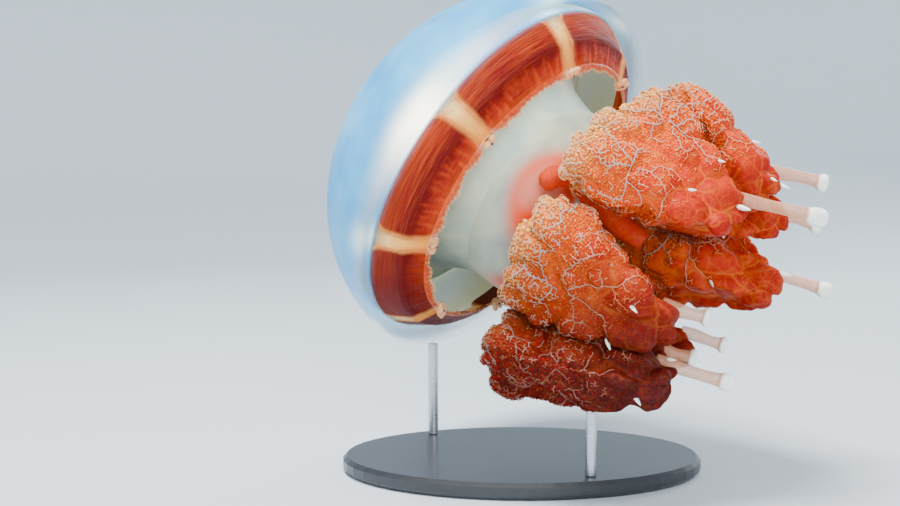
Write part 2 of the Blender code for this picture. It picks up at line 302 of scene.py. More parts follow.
def curve_through(keys, count):
    """Evenly spaced points on a smooth curve through the keys."""
    keys = np.array(keys, float)
    ends = np.vstack((2 * keys[0] - keys[1], keys, 2 * keys[-1] - keys[-2]))
    share = np.linspace(0, 1, 24, endpoint=False)[:, None]
    fine = []
    for a, b, c, d in zip(ends, ends[1:], ends[2:], ends[3:]):
        bend = (2 * a - 5 * b + 4 * c - d) * share**2 + (3 * b - a - 3 * c + d) * share**3
        fine.append(0.5 * (2 * b + (c - a) * share + bend))
    fine = np.vstack(fine + [keys[-1:]])
    length = np.concatenate(([0], np.cumsum(np.linalg.norm(np.diff(fine, axis=0), axis=1))))
    at = np.linspace(0, length[-1], count)
    return np.column_stack([np.interp(at, length, fine[:, axis]) for axis in range(keys.shape[1])])


def ring_faces(rows, steps):
    """Quads between rows of points that close on themselves."""
    row, step = np.meshgrid(np.arange(rows - 1), np.arange(steps), indexing="ij")
    after = (step + 1) % steps
    faces = (row * steps + step, row * steps + after, (row + 1) * steps + after, (row + 1) * steps + step)
    return np.stack(faces, axis=-1).reshape(-1, 4)


def sheet_faces(rows, columns):
    row, column = np.meshgrid(np.arange(rows - 1), np.arange(columns - 1), indexing="ij")
    first = row * columns + column
    return np.stack((first, first + 1, first + columns + 1, first + columns), axis=-1).reshape(-1, 4)


def soft_noise(points, size, seed):
    """Smooth noise from about -1 to 1, with hills about this size (mm)."""
    places = (np.asarray(points) / size + seed).tolist()
    return np.array([noise.noise(place) for place in places])


def cells(points, size, seed):
    """Distances to the middle and to the border of each point's cell, as shares of the cells' size."""
    places = (np.asarray(points) / size + seed).tolist()
    near = np.array([noise.voronoi(place)[0][:2] for place in places])
    return near[:, 0], near[:, 1] - near[:, 0]


# --- Materials ---
def to_linear(value):
    """A screen value, 0 to 255, as linear light."""
    return ((value / 255 + 0.055) / 1.055) ** 2.4 if value > 10 else value / 3294.6


def paint(red, green, blue):
    """A colour from its screen values, made purer to hold its hue under strong light."""
    linear = [to_linear(value) for value in (red, green, blue)]
    grey = sum(linear) / 3
    return tuple(min(max(grey + (value - grey) * PURITY, 0.002), 1.0) for value in linear) + (1.0,)


class Finish:
    """A material whose nodes are added by short calls."""

    def __init__(self, name, **constants):
        self.material = bpy.data.materials.new(name)
        self.material.use_nodes = True
        self.tree = self.material.node_tree
        self.shader = self.tree.nodes["Principled BSDF"]
        for socket, value in constants.items():
            self.set(socket.replace("_", " "), value)

    def set(self, socket, value):
        """Sets or links one of the shader's sockets."""
        self.fill(self.shader.inputs[socket], value)

    def fill(self, socket, value):
        if isinstance(value, bpy.types.NodeSocket):
            self.tree.links.new(value, socket)
        else:
            socket.default_value = value

    def node(self, kind, output=0, inputs=(), **settings):
        node = self.tree.nodes.new("ShaderNode" + kind)
        for name, value in settings.items():
            setattr(node, name, value)
        for key, value in dict(inputs).items():
            self.fill(node.inputs[key], value)
        return node.outputs[output]

    def value(self, name):
        return self.node("Attribute", 2, attribute_name=name)

    def place(self, scale=(1, 1, 1)):
        """The piece's own coordinates in millimetres, stretched by scale."""
        where = self.node("TexCoord", 3)
        return self.node("Mapping", inputs={0: where, 3: tuple(part / MM for part in scale)})

    def along(self, first, second, scale=(1, 1, 1)):
        """Coordinates made of two attributes."""
        where = self.node("CombineXYZ", inputs={0: self.value(first), 1: self.value(second)})
        return self.node("Mapping", inputs={0: where, 3: scale})

    def noise(self, where, scale, detail, rough=0.5):
        inputs = {"Vector": where, "Scale": scale, "Detail": detail, "Roughness": rough}
        return self.node("TexNoise", inputs=inputs)

    def cloud(self, scale, detail):
        """Noise in the piece's own millimetres."""
        return self.noise(self.place(), scale, detail)

    def cells(self, where, scale, feature="F1"):
        return self.node("TexVoronoi", inputs={"Vector": where, "Scale": scale}, feature=feature)

    def steps(self, value, low, high, start=0.0, end=1.0):
        inputs = {"Value": value, "From Min": low, "From Max": high, "To Min": start, "To Max": end}
        return self.node("MapRange", inputs=inputs)

    def maths(self, operation, first, second=0.0):
        return self.node("Math", inputs={0: first, 1: second}, operation=operation)

    def times(self, first, second):
        return self.maths("MULTIPLY", first, second)

    def blend(self, share, first, second):
        node = self.tree.nodes.new("ShaderNodeMix")
        node.data_type = "RGBA"
        for key, value in ((0, share), (6, first), (7, second)):
            self.fill(node.inputs[key], value)
        return node.outputs[2]

    def ramp(self, value, *stops):
        """Paints between stops, each a place and the paint's screen values."""
        node = self.tree.nodes.new("ShaderNodeValToRGB")
        self.fill(node.inputs[0], value)
        elements = node.color_ramp.elements
        while len(elements) < len(stops):
            elements.new(0.5)
        for element, (place, colour) in zip(elements, stops):
            element.position = place
            element.color = paint(*colour)
        return node.outputs[0]

    def mottled(self, cloud, first, second):
        """Two paints, given by their screen values and mixed by a noise."""
        return self.ramp(cloud, (0.3, first), (0.7, second))

    def bump(self, height, strength, depth):
        """Relief: the height's full range stands for depth (mm)."""
        return self.node("Bump", inputs={"Strength": strength, "Distance": depth * MM, "Height": height})


def jelly_material():
    """Milky pale blue jelly, clear at the rim and thick toward the crown; greyer on its inner face.

    It gives light of its own: bright in the white glow by the muscle, and faint on the inner face.
    """
    finish = Finish("bell_jelly", Roughness=0.30, IOR=1.36, Emission_Strength=4.0)
    milk, glow, blush = finish.value("milk"), finish.value("glow"), finish.value("blush")
    cloud = finish.cloud(0.05, 2.0)
    colour = finish.mottled(cloud, (88, 164, 216), (128, 194, 230))
    colour = finish.blend(finish.value("inner"), colour, paint(150, 156, 134))
    colour = finish.blend(blush, colour, paint(226, 160, 130))
    finish.set("Base Color", finish.blend(glow, colour, paint(255, 253, 244)))
    shine = finish.blend(finish.value("inner"), paint(0, 0, 0), paint(58, 58, 44))
    finish.set("Emission Color", finish.blend(glow, shine, paint(255, 238, 204)))
    grain = finish.cloud(0.9, 3.0)
    thick = finish.times(milk, finish.steps(cloud, 0.2, 0.8, 0.85, 1.15))
    lit = finish.maths("ADD", finish.times(glow, 0.5), finish.times(blush, 0.45))
    finish.set("Alpha", finish.maths("MINIMUM", finish.maths("ADD", thick, lit), 0.97))
    finish.set("Normal", finish.bump(grain, 0.15, 0.10))
    return finish.material


def muscle_material():
    """Brick-orange muscle with fine pale streaks along the ring and a dark groove down its middle.

    The pale streaks are painted highlight on the ridges, with painted shade between them; the lower half's
    folds carry painted highlight, and the lower fields painted shade, partly their own deeper red.
    """
    finish = Finish("ring_muscle", Roughness=0.5, IOR=1.37, Specular_IOR_Level=0.12)
    across, streak_place = finish.value("across"), finish.along("arc", "depth", (0.07, 2.3, 1))
    base = finish.ramp(
        across,
        (0.0, (142, 64, 8)),
        (0.28, (126, 46, 4)),
        (0.50, (84, 13, 2)),
        (0.62, (100, 24, 2)),
        (0.84, (152, 62, 4)),
        (1.0, (174, 84, 18)),
    )
    # Painted highlight and shade: pale on the ridge tops and dark in the furrows, from the bump's own
    # noise
    streaks = finish.noise(streak_place, 1.0, 4.0, 0.6)
    upper = finish.steps(across, 0.62, 0.35, 0.0, 0.65)
    pale = finish.times(finish.steps(streaks, 0.50, 0.64), upper)
    colour = finish.blend(pale, base, paint(176, 96, 28))
    dark = finish.times(finish.steps(streaks, 0.48, 0.38), 0.6)
    colour = finish.blend(dark, colour, paint(84, 10, 3))
    # Painted highlight: lighter orange on the folds of the lower half
    folds = finish.noise(finish.along("arc", "depth", (0.45, 0.12, 1)), 1.0, 3.0)
    lower = finish.steps(across, 0.5, 0.8, 0.0, 0.7)
    warm = finish.times(finish.steps(folds, 0.48, 0.68), lower)
    colour = finish.blend(warm, colour, paint(204, 96, 20))
    # Painted shade: the lower fields darker, partly their own deeper red
    colour = finish.blend(finish.times(finish.value("low"), 0.7), colour, paint(84, 6, 1))
    finish.set("Base Color", finish.blend(finish.value("ends"), colour, paint(218, 148, 104)))
    finish.set("Normal", finish.bump(streaks, 0.7, 0.5))
    return finish.material


def gap_material():
    """Cream tissue between the muscle fields: whitest by the bell, tan at its edges and the margin."""
    finish = Finish("gap_tissue", Roughness=0.45, IOR=1.37)
    across = finish.value("across")
    cloud = finish.cloud(0.5, 3.0)
    stops = ((0.0, (253, 226, 184)), (0.35, (240, 188, 128)), (1.0, (220, 148, 88)))
    along = finish.ramp(across, *stops)
    colour = finish.blend(finish.steps(cloud, 0.35, 0.7, 0.0, 0.35), along, paint(218, 148, 96))
    rim = finish.steps(finish.value("edge"), 0.3, 1.0, 0.0, 0.75)
    finish.set("Base Color", finish.blend(rim, colour, paint(206, 126, 72)))
    finish.set("Alpha", finish.steps(across, 0.0, 0.25, 0.05, 1.0))
    finish.set("Normal", finish.bump(cloud, 0.4, 0.25))
    return finish.material


def hood_material():
    finish = Finish("sense_hood", Roughness=0.3, IOR=1.37)
    cloud = finish.cloud(0.7, 2.0)
    finish.set("Base Color", finish.mottled(cloud, (226, 166, 124), (244, 204, 168)))
    finish.set("Alpha", finish.steps(cloud, 0.3, 0.7, 0.7, 0.9))
    finish.set("Normal", finish.bump(cloud, 0.3, 0.2))
    return finish.material


def dot_material():
    finish = Finish("sense_dot", Roughness=0.35)
    grain = finish.cloud(3.0, 2.0)
    finish.set("Base Color", finish.mottled(grain, (52, 28, 24), (92, 50, 40)))
    return finish.material


def frill_material():
    """Thin frill, orange where it leaves the muscle and cream and clear at its edge."""
    finish = Finish("margin_frill", Roughness=0.4, IOR=1.37)
    across, notch = finish.value("across"), finish.value("notch")
    cloud = finish.cloud(0.45, 3.0)
    orange = finish.mottled(cloud, (172, 68, 6), (198, 104, 28))
    colour = finish.blend(finish.steps(across, 0.55, 1.0), orange, paint(238, 196, 150))
    finish.set("Base Color", finish.blend(notch, colour, paint(240, 214, 184)))
    finish.set("Alpha", finish.steps(across, 0.35, 1.0, 1.0, 0.15))
    finish.set("Normal", finish.bump(cloud, 0.4, 0.25))
    return finish.material


def flesh_material():
    """The arms' tissue, peach at the bell-ward edges to deep red at the tips, and the disc's jelly."""
    finish = Finish("arm_flesh", Roughness=0.55, IOR=1.38, Specular_IOR_Level=0.15)
    tip, low, frond = finish.value("tip"), finish.value("low"), finish.value("frond")
    fold, edge = finish.value("fold"), finish.value("edge")
    warm = finish.ramp(
        tip,
        (0.0, (252, 196, 138)),
        (0.30, (212, 100, 40)),
        (0.5, (186, 72, 16)),
        (1.0, (138, 38, 0)),
    )
    # The lower arms go to these deep reds: partly their own colour, partly painted shade
    deep = finish.ramp(tip, (0.0, (96, 16, 4)), (0.3, (54, 3, 1)), (1.0, (40, 1, 1)))
    colour = finish.blend(low, warm, deep)
    fine = finish.cells(finish.place(), 0.8)
    colour = finish.blend(finish.steps(fine, 0.3, 0.75, 0.0, 0.3), colour, paint(124, 24, 4))
    mottle = finish.cloud(0.14, 3.0)
    # The pale mottle and lines fade on the lower arms with their painted shade
    bright = finish.steps(low, 0.0, 1.0, 1.0, 0.15)
    light = finish.times(finish.steps(mottle, 0.4, 0.7, 0.0, 0.5), bright)
    light = finish.times(light, finish.steps(tip, 0.3, 0.9, 1.0, 0.25))
    colour = finish.blend(light, colour, paint(226, 122, 60))
    net = finish.cells(finish.place((1, 1, 0.8)), 0.42, "DISTANCE_TO_EDGE")
    patches = finish.steps(mottle, 0.35, 0.55)
    lines = finish.times(finish.steps(net, 0.08, 0.01, 0.0, 0.12), patches)
    lines = finish.maths("MAXIMUM", lines, finish.steps(edge, 0.09, 0.01, 0.0, 0.2))
    lines = finish.maths("MAXIMUM", lines, finish.steps(fold, 0.06, 0.01, 0.0, 0.3))
    colour = finish.blend(finish.times(lines, bright), colour, paint(236, 156, 100))
    cloud = finish.cloud(0.08, 3.0)
    pale = finish.mottled(cloud, (140, 154, 150), (186, 188, 168))
    glow = finish.times(finish.value("glow"), finish.steps(cloud, 0.3, 0.7, 0.8, 1.1))
    pale = finish.blend(glow, pale, paint(214, 94, 40))
    finish.set("Base Color", finish.blend(frond, pale, colour))
    relief = finish.times(finish.steps(fine, 0.1, 0.7, 1.0, 0.0), frond)
    finish.set("Normal", finish.bump(relief, 0.4, 0.25))
    return finish.material


def bud_material():
    """Mouthlets: coloured by the skin's marks, redder at the foot, and each a little lighter or darker.

    The redder, darker foot is painted shade where the buds crowd, weaker at the bell-ward crest.
    """
    finish = Finish("mouthlets", Roughness=0.55, IOR=1.38, Specular_IOR_Level=0.15)
    tip, low, height, own = (finish.value(name) for name in ("tip", "low", "height", "own"))
    warm = finish.ramp(
        tip,
        (0.0, (255, 218, 164)),
        (0.20, (252, 194, 136)),
        (0.36, (228, 126, 72)),
        (1.0, (200, 82, 28)),
    )
    # The lower arms' buds go to these deep reds: partly their own colour, partly painted shade
    deep = finish.ramp(tip, (0.0, (116, 26, 6)), (0.3, (70, 5, 2)), (1.0, (44, 1, 1)))
    colour = finish.blend(low, warm, deep)
    # Painted shade: each bud darker and redder toward its foot
    inward = finish.steps(tip, 0.0, 0.25, 0.3, 1.0)
    foot = finish.times(finish.steps(height, 0.85, 0.2, 0.0, 0.6), inward)
    colour = finish.blend(foot, colour, paint(140, 34, 6))
    outer = finish.steps(tip, 0.08, 0.25)
    dark = finish.times(finish.steps(own, 0.45, 0.0, 0.0, 0.55), outer)
    colour = finish.blend(dark, colour, paint(170, 52, 12))
    # Lighter buds fade on the lower arms with their painted shade
    bright = finish.steps(low, 0.0, 1.0, 1.0, 0.35)
    light = finish.times(finish.steps(own, 0.6, 1.0, 0.0, 0.35), bright)
    finish.set("Base Color", finish.blend(light, colour, paint(244, 172, 116)))
    grain = finish.cloud(2.4, 2.0)
    finish.set("Normal", finish.bump(grain, 0.3, 0.15))
    return finish.material


def canal_material():
    """The pale branching canals: grey trunks and peach twigs, warmer toward the arms' tips."""
    finish = Finish("canals", Roughness=0.5, IOR=1.38, Specular_IOR_Level=0.15)
    girth = finish.ramp(finish.value("girth"), (0.45, (230, 172, 142)), (1.0, (172, 160, 158)))
    tip = finish.value("tip")
    girth = finish.blend(finish.steps(tip, 0.30, 0.15, 0.0, 0.6), girth, paint(246, 200, 154))
    colour = finish.blend(finish.steps(tip, 0.35, 0.75, 0.0, 0.8), girth, paint(222, 128, 82))
    # The lower arms' canals go darker: partly their own colour, partly painted shade
    colour = finish.blend(finish.times(finish.value("low"), 0.85), colour, paint(96, 44, 30))
    spots = finish.cloud(0.3, 2.0)
    pale = finish.steps(spots, 0.4, 0.7, 0.0, 0.25)
    finish.set("Base Color", finish.blend(pale, colour, paint(222, 210, 204)))
    return finish.material


def membrane_material():
    """The thin wall that closes the drum between disc and roof: cloudy and pale."""
    finish = Finish("disc_membrane", Roughness=0.45, IOR=1.36)
    cloud = finish.cloud(0.07, 3.0)
    finish.set("Base Color", finish.mottled(cloud, (150, 170, 164), (196, 202, 182)))
    finish.set("Normal", finish.bump(finish.cloud(0.4, 2.0), 0.3, 0.3))
    return finish.material


def club_material():
    """Translucent pinkish-tan shafts with opaque white three-sided heads."""
    finish = Finish("club_jelly", Roughness=0.3, IOR=1.37)
    head = finish.value("head")
    cloud = finish.cloud(0.5, 2.0)
    shaft = finish.mottled(cloud, (198, 146, 122), (212, 170, 146))
    finish.set("Base Color", finish.blend(head, shaft, paint(246, 246, 240)))
    finish.set("Alpha", finish.steps(head, 0.0, 0.6, 0.58, 1.0))
    finish.set("Normal", finish.bump(cloud, 0.3, 0.2))
    return finish.material


def base_material():
    """Satin black lacquer with a faint orange-peel."""
    finish = Finish("black_lacquer", Roughness=0.38, Coat_Weight=0.3, Coat_Roughness=0.15)
    peel = finish.cloud(0.35, 2.0)
    finish.set("Base Color", finish.mottled(peel, (30, 31, 33), (38, 39, 42)))
    finish.set("Normal", finish.bump(peel, 0.2, 0.05))
    return finish.material


def steel_material():
    """Steel, brushed round the rod."""
    finish = Finish("brushed_steel", Roughness=0.3, Metallic=1.0)
    brushed = finish.noise(finish.place((1.0, 1.0, 14.0)), 0.5, 3.0)
    finish.set("Base Color", finish.mottled(brushed, (176, 177, 180), (206, 207, 210)))
    finish.set("Roughness", finish.steps(brushed, 0.3, 0.7, 0.24, 0.36))
    finish.set("Normal", finish.bump(brushed, 0.15, 0.03))
    return finish.material


# --- Bell ---
def notch_share(azimuth):
    """1 at a sense organ, falling to 0 a few degrees away."""
    pitch = TURN / OCTANTS
    off = (azimuth - FIRST_NOTCH + pitch / 2) % pitch - pitch / 2
    return np.exp(-((off / NOTCH_WIDTH) ** 2))


def lappet_share(azimuth):
    """0 in the clefts between the marginal lappets, 1 at their tips."""
    return 0.5 - 0.5 * np.cos(LAPPETS * (azimuth - FIRST_NOTCH))


def margin_edge(points):
    """Cuts the lappets and notches into the inward lip, as the solid has them."""
    radius, azimuth = radius_of(points), azimuth_of(points)
    notch = notch_share(azimuth)
    push = 2.0 * notch - 1.3 * (1 - notch) * lappet_share(azimuth)
    push *= (1 - smooth(MARGIN_RADIUS, MARGIN_RADIUS + 5, radius)) * (points[:, 2] < -5) * (radius > 40)
    return ring_points(radius + push, azimuth, points[:, 2] + push * 0.6)


def dome_outline():
    """The bell's outer line, a quarter ellipse from the crown to the widest ring."""
    angle = np.linspace(0, math.pi / 2, 24)
    return [(BELL_RADIUS * math.sin(a), CROWN_HEIGHT * math.cos(a)) for a in angle]


def revolved(outline, steps):
    azimuth = np.linspace(0, TURN, steps, endpoint=False)
    rows = [ring_points(radius, azimuth, height) for radius, height in outline]
    return np.vstack(rows), ring_faces(len(outline), steps)


def glow_at(points, azimuth, height, width, tall):
    """A soft patch of light in the jelly, 1 at its middle."""
    off = (azimuth_of(points) - math.radians(azimuth) + math.pi) % TURN - math.pi
    return np.exp(-((off / math.radians(width)) ** 2) - ((points[:, 2] - height) / tall) ** 2)


def white_glow(points):
    """Light gathers beside the gaps in the ring muscle, most by the one turned to the viewer."""
    gaps = sum(glow_at(points, gap, 5, 5, 5) for gap in GAP_DEGREES[1:])
    return np.minimum(glow_at(points, -5, 5, 13, 7) + 0.25 * gaps, 1.0)


def red_blush(points):
    """The muscle's colour spreads a little into the jelly over its upper edge."""
    gaps = sum(glow_at(points, gap, 6, 9, 9) for gap in GAP_DEGREES)
    return np.exp(-(((points[:, 2] - 4.6) / 3.2) ** 2)) * np.clip(0.8 - gaps, 0, 1)


def crown_rosette(points):
    """The four gonads' colour as it shows faintly through the crown, seen from outside."""
    leaves = (0.5 + 0.5 * np.cos(PILLARS * (azimuth_of(points) - FIRST_PILLAR))) ** 0.6
    return np.exp(-(((radius_of(points) - 17) / 7) ** 2)) * leaves * (points[:, 2] > 35)


def outer_milk(points):
    """The outer skin's milkiness: clear over the muscle near the viewer, clouded to the rim behind."""
    height, toward = points[:, 2], points[:, 0] / BELL_RADIUS
    side, far = smooth(0.35, -0.05, toward), smooth(0.1, -0.5, toward)
    clouded = smooth(0.4 - 3.5 * far, 5 - 2 * far, height)
    return mix(0.003 + 0.10 * side, 0.62, clouded) + 0.18 * smooth(8, 26, height)


def build_bell(material):
    """One skin over dome and margin: over the crown, round the lip and back up the wall to the roof."""
    outline = curve_through(dome_outline() + list(RIM + WALL + ROOF), BELL_ROWS)
    outline[:, 0] = np.maximum(outline[:, 0], 0)
    points, faces = revolved(outline, BELL_STEPS)
    points = margin_edge(points)
    outside = np.repeat(np.arange(BELL_ROWS) < BELL_ROWS * 0.5, BELL_STEPS)
    mesh = new_mesh("bell_skin", to_world(points), faces)
    height = points[:, 2]
    milk = np.where(outside, outer_milk(points), mix(0.003, 0.92, smooth(2.4, 4.6, height)))
    near = smooth(-0.3, 0.2, points[:, 0] / BELL_RADIUS) * (1 - smooth(4.6, 8.0, height))
    clear = np.where(outside, smooth(0.4, 2.6, height), smooth(2.8, 4.6, height) * near)
    glow = white_glow(points) * clear
    blush = red_blush(points) * clear * 0.38 + 0.4 * crown_rosette(points) * outside
    set_values(mesh, milk=milk, glow=glow, blush=blush, inner=(1 - near) * ~outside)
    bell = add_piece("bell_skin", welded(mesh), material)
    bell.visible_shadow = False
    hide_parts("bell_dome", "bell_margin")


def build_bell_depth(material):
    """A cloudier layer half-way through the thick jelly."""
    angle = np.linspace(0, 1.45, 30)
    width, rise = BELL_RADIUS * DEPTH_SHARE, CROWN_HEIGHT - DEPTH_BELOW - DEPTH_FOOT
    outline = curve_through([(width * math.sin(a), DEPTH_FOOT + rise * math.cos(a)) for a in angle], 60)
    points, faces = revolved(outline, 160)
    mesh = new_mesh("bell_depth", to_world(points), faces)
    milk = mix(0.0, 0.40, smooth(4, 16, points[:, 2])) + 0.35 * smooth(24, 42, points[:, 2])
    set_values(mesh, milk=milk, glow=white_glow(points) * 0.7, blush=red_blush(points) * 0.4)
    depth = add_piece("bell_depth", welded(mesh), material)
    depth.visible_shadow = False


def build_membrane(material):
    """The wall of the drum over the disc, which closes the gaps between the pillars up to the roof."""
    points, faces = revolved(curve_through(MEMBRANE, 40), 120)
    wave = 0.8 * np.cos(PILLARS * (azimuth_of(points) - FIRST_PILLAR)) * smooth(-8, 4, points[:, 2])
    points[:, :2] *= (1 + wave / radius_of(points))[:, None]
    points[:, 1] += DISC_SHIFT * smooth(8, -8, points[:, 2])
    mesh = new_mesh("disc_membrane", to_world(points), faces)
    piece = add_piece("disc_membrane", mesh, material)
    thicken(piece, MEMBRANE_THICKNESS)


# --- Ring muscle ---
def band_place(share):
    """The band's radius and height at a share of its width, and the direction away from the wall."""
    keys = curve_through(BAND, 60)
    at = np.linspace(0, 1, len(keys))

    def along_keys(part):
        return np.stack([np.interp(part, at, keys[:, axis]) for axis in (0, 1)], axis=-1)

    place = along_keys(share)
    ahead, behind = along_keys(share + 0.02), along_keys(share - 0.02)
    along = unit(ahead - behind)
    return place, np.stack((along[..., 1], -along[..., 0]), axis=-1)


def build_muscle(index, material):
    """One field of ring muscle: a soft-cornered sheet with fine ridges and a frilled lower edge."""
    pitch = TURN / OCTANTS
    first = FIRST_NOTCH + index * pitch
    rows, columns = np.linspace(0, 1, BAND_ROWS), np.linspace(0, 1, BAND_COLUMNS)
    across, along = np.meshgrid(rows, columns, indexing="ij")
    corner = 2.2 * np.abs(2 * across - 1) ** 9
    place, lift = band_place(mix(0.015, 0.985, across))
    clear = (mix(BAND_GAP_UPPER, BAND_GAP_LOWER, across) / 2 + corner) / place[..., 0]
    azimuth = mix(first + clear, first + pitch - clear, along)
    arc, depth = azimuth * BAND_RADIUS, across * BAND_WIDTH
    flat = np.stack((arc.ravel(), depth.ravel(), np.full(arc.size, index * 3.7)), axis=-1)
    ridges = soft_noise(flat * (0.10, 1.0, 1.0), 0.9, 5.0).reshape(arc.shape)
    folds = soft_noise(flat * (1.0, 0.35, 1.0), 3.0, 11.0).reshape(arc.shape)
    groove = np.exp(-(((across - 0.53) / 0.09) ** 2))
    ends = np.minimum(np.minimum(along, 1 - along) * 14, 1)
    tan = 1 - smooth(0.2, 2.6, np.minimum(along, 1 - along) * pitch * place[..., 0])
    relief = BAND_LIFT + 0.22 * ridges + 0.45 * folds * smooth(0.45, 0.8, across)
    raised = relief - 0.5 * groove + 0.3 * ends
    place = place + lift * raised[..., None]
    points = ring_points(place[..., 0], azimuth, place[..., 1]).reshape(-1, 3)
    mesh = new_mesh(f"muscle_{index + 1}_sheet", to_world(points), sheet_faces(BAND_ROWS, BAND_COLUMNS))
    # How low the field hangs, for the muscle's painted shade
    low = smooth(0.105, 0.060, to_world(points)[:, 2])
    set_values(mesh, across=across.ravel(), arc=arc.ravel(), depth=depth.ravel())
    set_values(mesh, ends=0.8 * tan.ravel(), low=low)
    piece = add_piece(f"muscle_{index + 1}_sheet", mesh, material)
    thicken(piece, BAND_THICKNESS, 0.0)
    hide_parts(f"muscle_{index + 1}")


# --- Gaps, sense organs and frill of the margin ---
def build_gap(octant, material):
    """The pale tissue between two fields of muscle, which ends in a sense organ's hood at the margin."""
    rows, columns = np.linspace(0, 1, GAP_ROWS), np.linspace(-1, 1, GAP_COLUMNS)
    across, along = np.meshgrid(rows, columns, indexing="ij")
    place, lift = band_place(mix(0.0, 1.0, across))
    half = (mix(BAND_GAP_UPPER, BAND_GAP_LOWER, across) / 2 + 0.9) / place[..., 0]
    azimuth = FIRST_NOTCH + octant * TURN / OCTANTS + along * half
    depth = across.ravel() * BAND_WIDTH
    flat = np.stack((along.ravel() * 3, depth, np.full(along.size, octant * 5.1)), axis=-1)
    wrinkle = soft_noise(flat, 1.6, 31.0).reshape(along.shape)
    place = place + lift * (BAND_LIFT - 0.1 + 0.25 * wrinkle + 0.35 * (1 - along**2))[..., None]
    points = ring_points(place[..., 0], azimuth, place[..., 1]).reshape(-1, 3)
    mesh = new_mesh(f"muscle_gap_{octant + 1}", to_world(points), sheet_faces(GAP_ROWS, GAP_COLUMNS))
    set_values(mesh, across=across.ravel(), edge=np.abs(along).ravel())
    piece = add_piece(f"muscle_gap_{octant + 1}", mesh, material)
    thicken(piece, GAP_THICKNESS, 0.0)


def blob(radii, middle, turn, seed, steps=20, taper=0.0):
    """A rounded lobe, slightly uneven, and thinner toward its top by the taper: points and faces."""
    polar = np.linspace(0, math.pi, steps // 2 + 1)
    azimuth = np.linspace(0, TURN, steps, endpoint=False)
    points = np.vstack([ring_points(math.sin(p), azimuth, math.cos(p)) for p in polar])
    points[:, :2] *= 1 - taper * (0.5 + 0.5 * points[:, 2:])
    points = points * (1 + 0.08 * soft_noise(points, 0.7, seed)[:, None]) * radii
    return points @ turn.T + middle, ring_faces(len(polar), steps)


def build_sense_organs(hood_finish, dot_finish):
    """At each gap's lower end two small hooded lobes, with the organ's dark dot between them."""
    hoods, dots = [], []
    for octant in range(OCTANTS):
        azimuth = FIRST_NOTCH + octant * TURN / OCTANTS
        turn = np.array(Matrix.Rotation(azimuth, 3, "Z") @ Matrix.Rotation(math.radians(28), 3, "Y"))
        for side in (-1, 1):
            middle = ring_points(53.4, np.array(azimuth + side * 0.026), -11.0)
            hoods.append(blob((2.9, 1.5, 1.3), middle, turn, octant + side * 0.3))
        middle = ring_points(52.9, np.array(azimuth), -12.0)
        dots.append(blob((0.45, 0.40, 0.40), middle, turn, octant, 12))
    for name, lobes, finish in (("sense_hoods", hoods, hood_finish), ("sense_dots", dots, dot_finish)):
        points, faces = joined(lobes)
        add_piece(name, welded(new_mesh(name, to_world(points), faces)), finish)


def build_frill(material):
    """The thin ruffled edge of the muscle fields, scalloped in lappets, along the margin's lip."""
    steps = np.linspace(0, TURN, FRILL_STEPS, endpoint=False)
    across, azimuth = np.meshgrid(np.linspace(0, 1, FRILL_ROWS), steps, indexing="ij")
    flat = ring_points(50, azimuth, 3.0).reshape(-1, 3)
    ragged = soft_noise(flat, 1.1, 41.0).reshape(azimuth.shape)
    broad = soft_noise(flat, 5.0, 43.0).reshape(azimuth.shape)
    scallop = np.abs(np.sin(LAPPETS * (azimuth - FIRST_NOTCH) / 2)) ** 0.5
    length = (2.5 + 0.5 * scallop + 0.6 * ragged + 2.0 * broad) * (1 - 0.9 * notch_share(azimuth))
    ripple = 0.45 * np.sin(azimuth * 150 + 5 * broad) * across
    radius = 54.4 - across * length * 0.86
    height = -9.4 - across * length * 0.52 + ripple
    points = ring_points(radius, azimuth, height).reshape(-1, 3)
    mesh = new_mesh("margin_frill", to_world(points), ring_faces(FRILL_ROWS, FRILL_STEPS))
    set_values(mesh, across=across.ravel(), notch=notch_share(azimuth).ravel())
    piece = add_piece("margin_frill", mesh, material)
    thicken(piece, FRILL_THICKNESS)


# --- Flesh of the arms and disc ---
Skin = namedtuple("Skin", "points faces own normals arm share frond")


def rounded(node):
    """A solid of the frame, rounded by subdivision: points (mm, animal's frame), normals and faces."""
    mesh = welded(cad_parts[node].data.copy())
    guide = guide_object(mesh)
    guide.data.materials.clear()
    soften = guide.modifiers.new("soften", "SUBSURF")
    soften.levels = soften.render_levels = ROUNDING
    made = evaluated_mesh(guide)
    points = to_animal(vertex_vectors(made, "co"))
    normals = vertex_vectors(made, "normal") @ (POSE_TURN / MM)
    return points, normals, mesh_quads(made)


def arm_cages():
    """Each arm's rounded solid, drawn in by the coat's depth, with its neck run up into the disc."""
    cages = []
    for index in range(ARMS):
        points, normals, faces = rounded(f"arm_{index + 1}")
        points = points - normals * COAT_DEPTH
        neck = points[:, 2] > ARM_TOP - 2.0
        inner = radius_of(points) < 34
        points[neck & inner, 2] += 6.0
        cages.append((points, faces))
    return cages


def disc_cages():
    points, normals, faces = rounded("arm_disc")
    cages = [(points - normals * 0.3, faces)]
    for index in range(PILLARS):
        points, _, faces = rounded(f"pillar_{index + 1}")
        points[points[:, 2] < 0, 2] -= 5.0
        cages.append((points, faces))
    return cages


def fused(cages):
    """All cages as one closed skin of small even quads: points and faces."""
    points, faces = joined(cages)
    guide = guide_object(new_mesh("fused", to_world(points), faces))
    fuse = guide.modifiers.new("fuse", "REMESH")
    fuse.mode = "VOXEL"
    fuse.voxel_size = SKIN_CELL * MM
    soften = guide.modifiers.new("soften", "SMOOTH")
    soften.factor = 0.5
    soften.iterations = 6
    made = evaluated_mesh(guide)
    return vertex_vectors(made, "co"), mesh_quads(made)


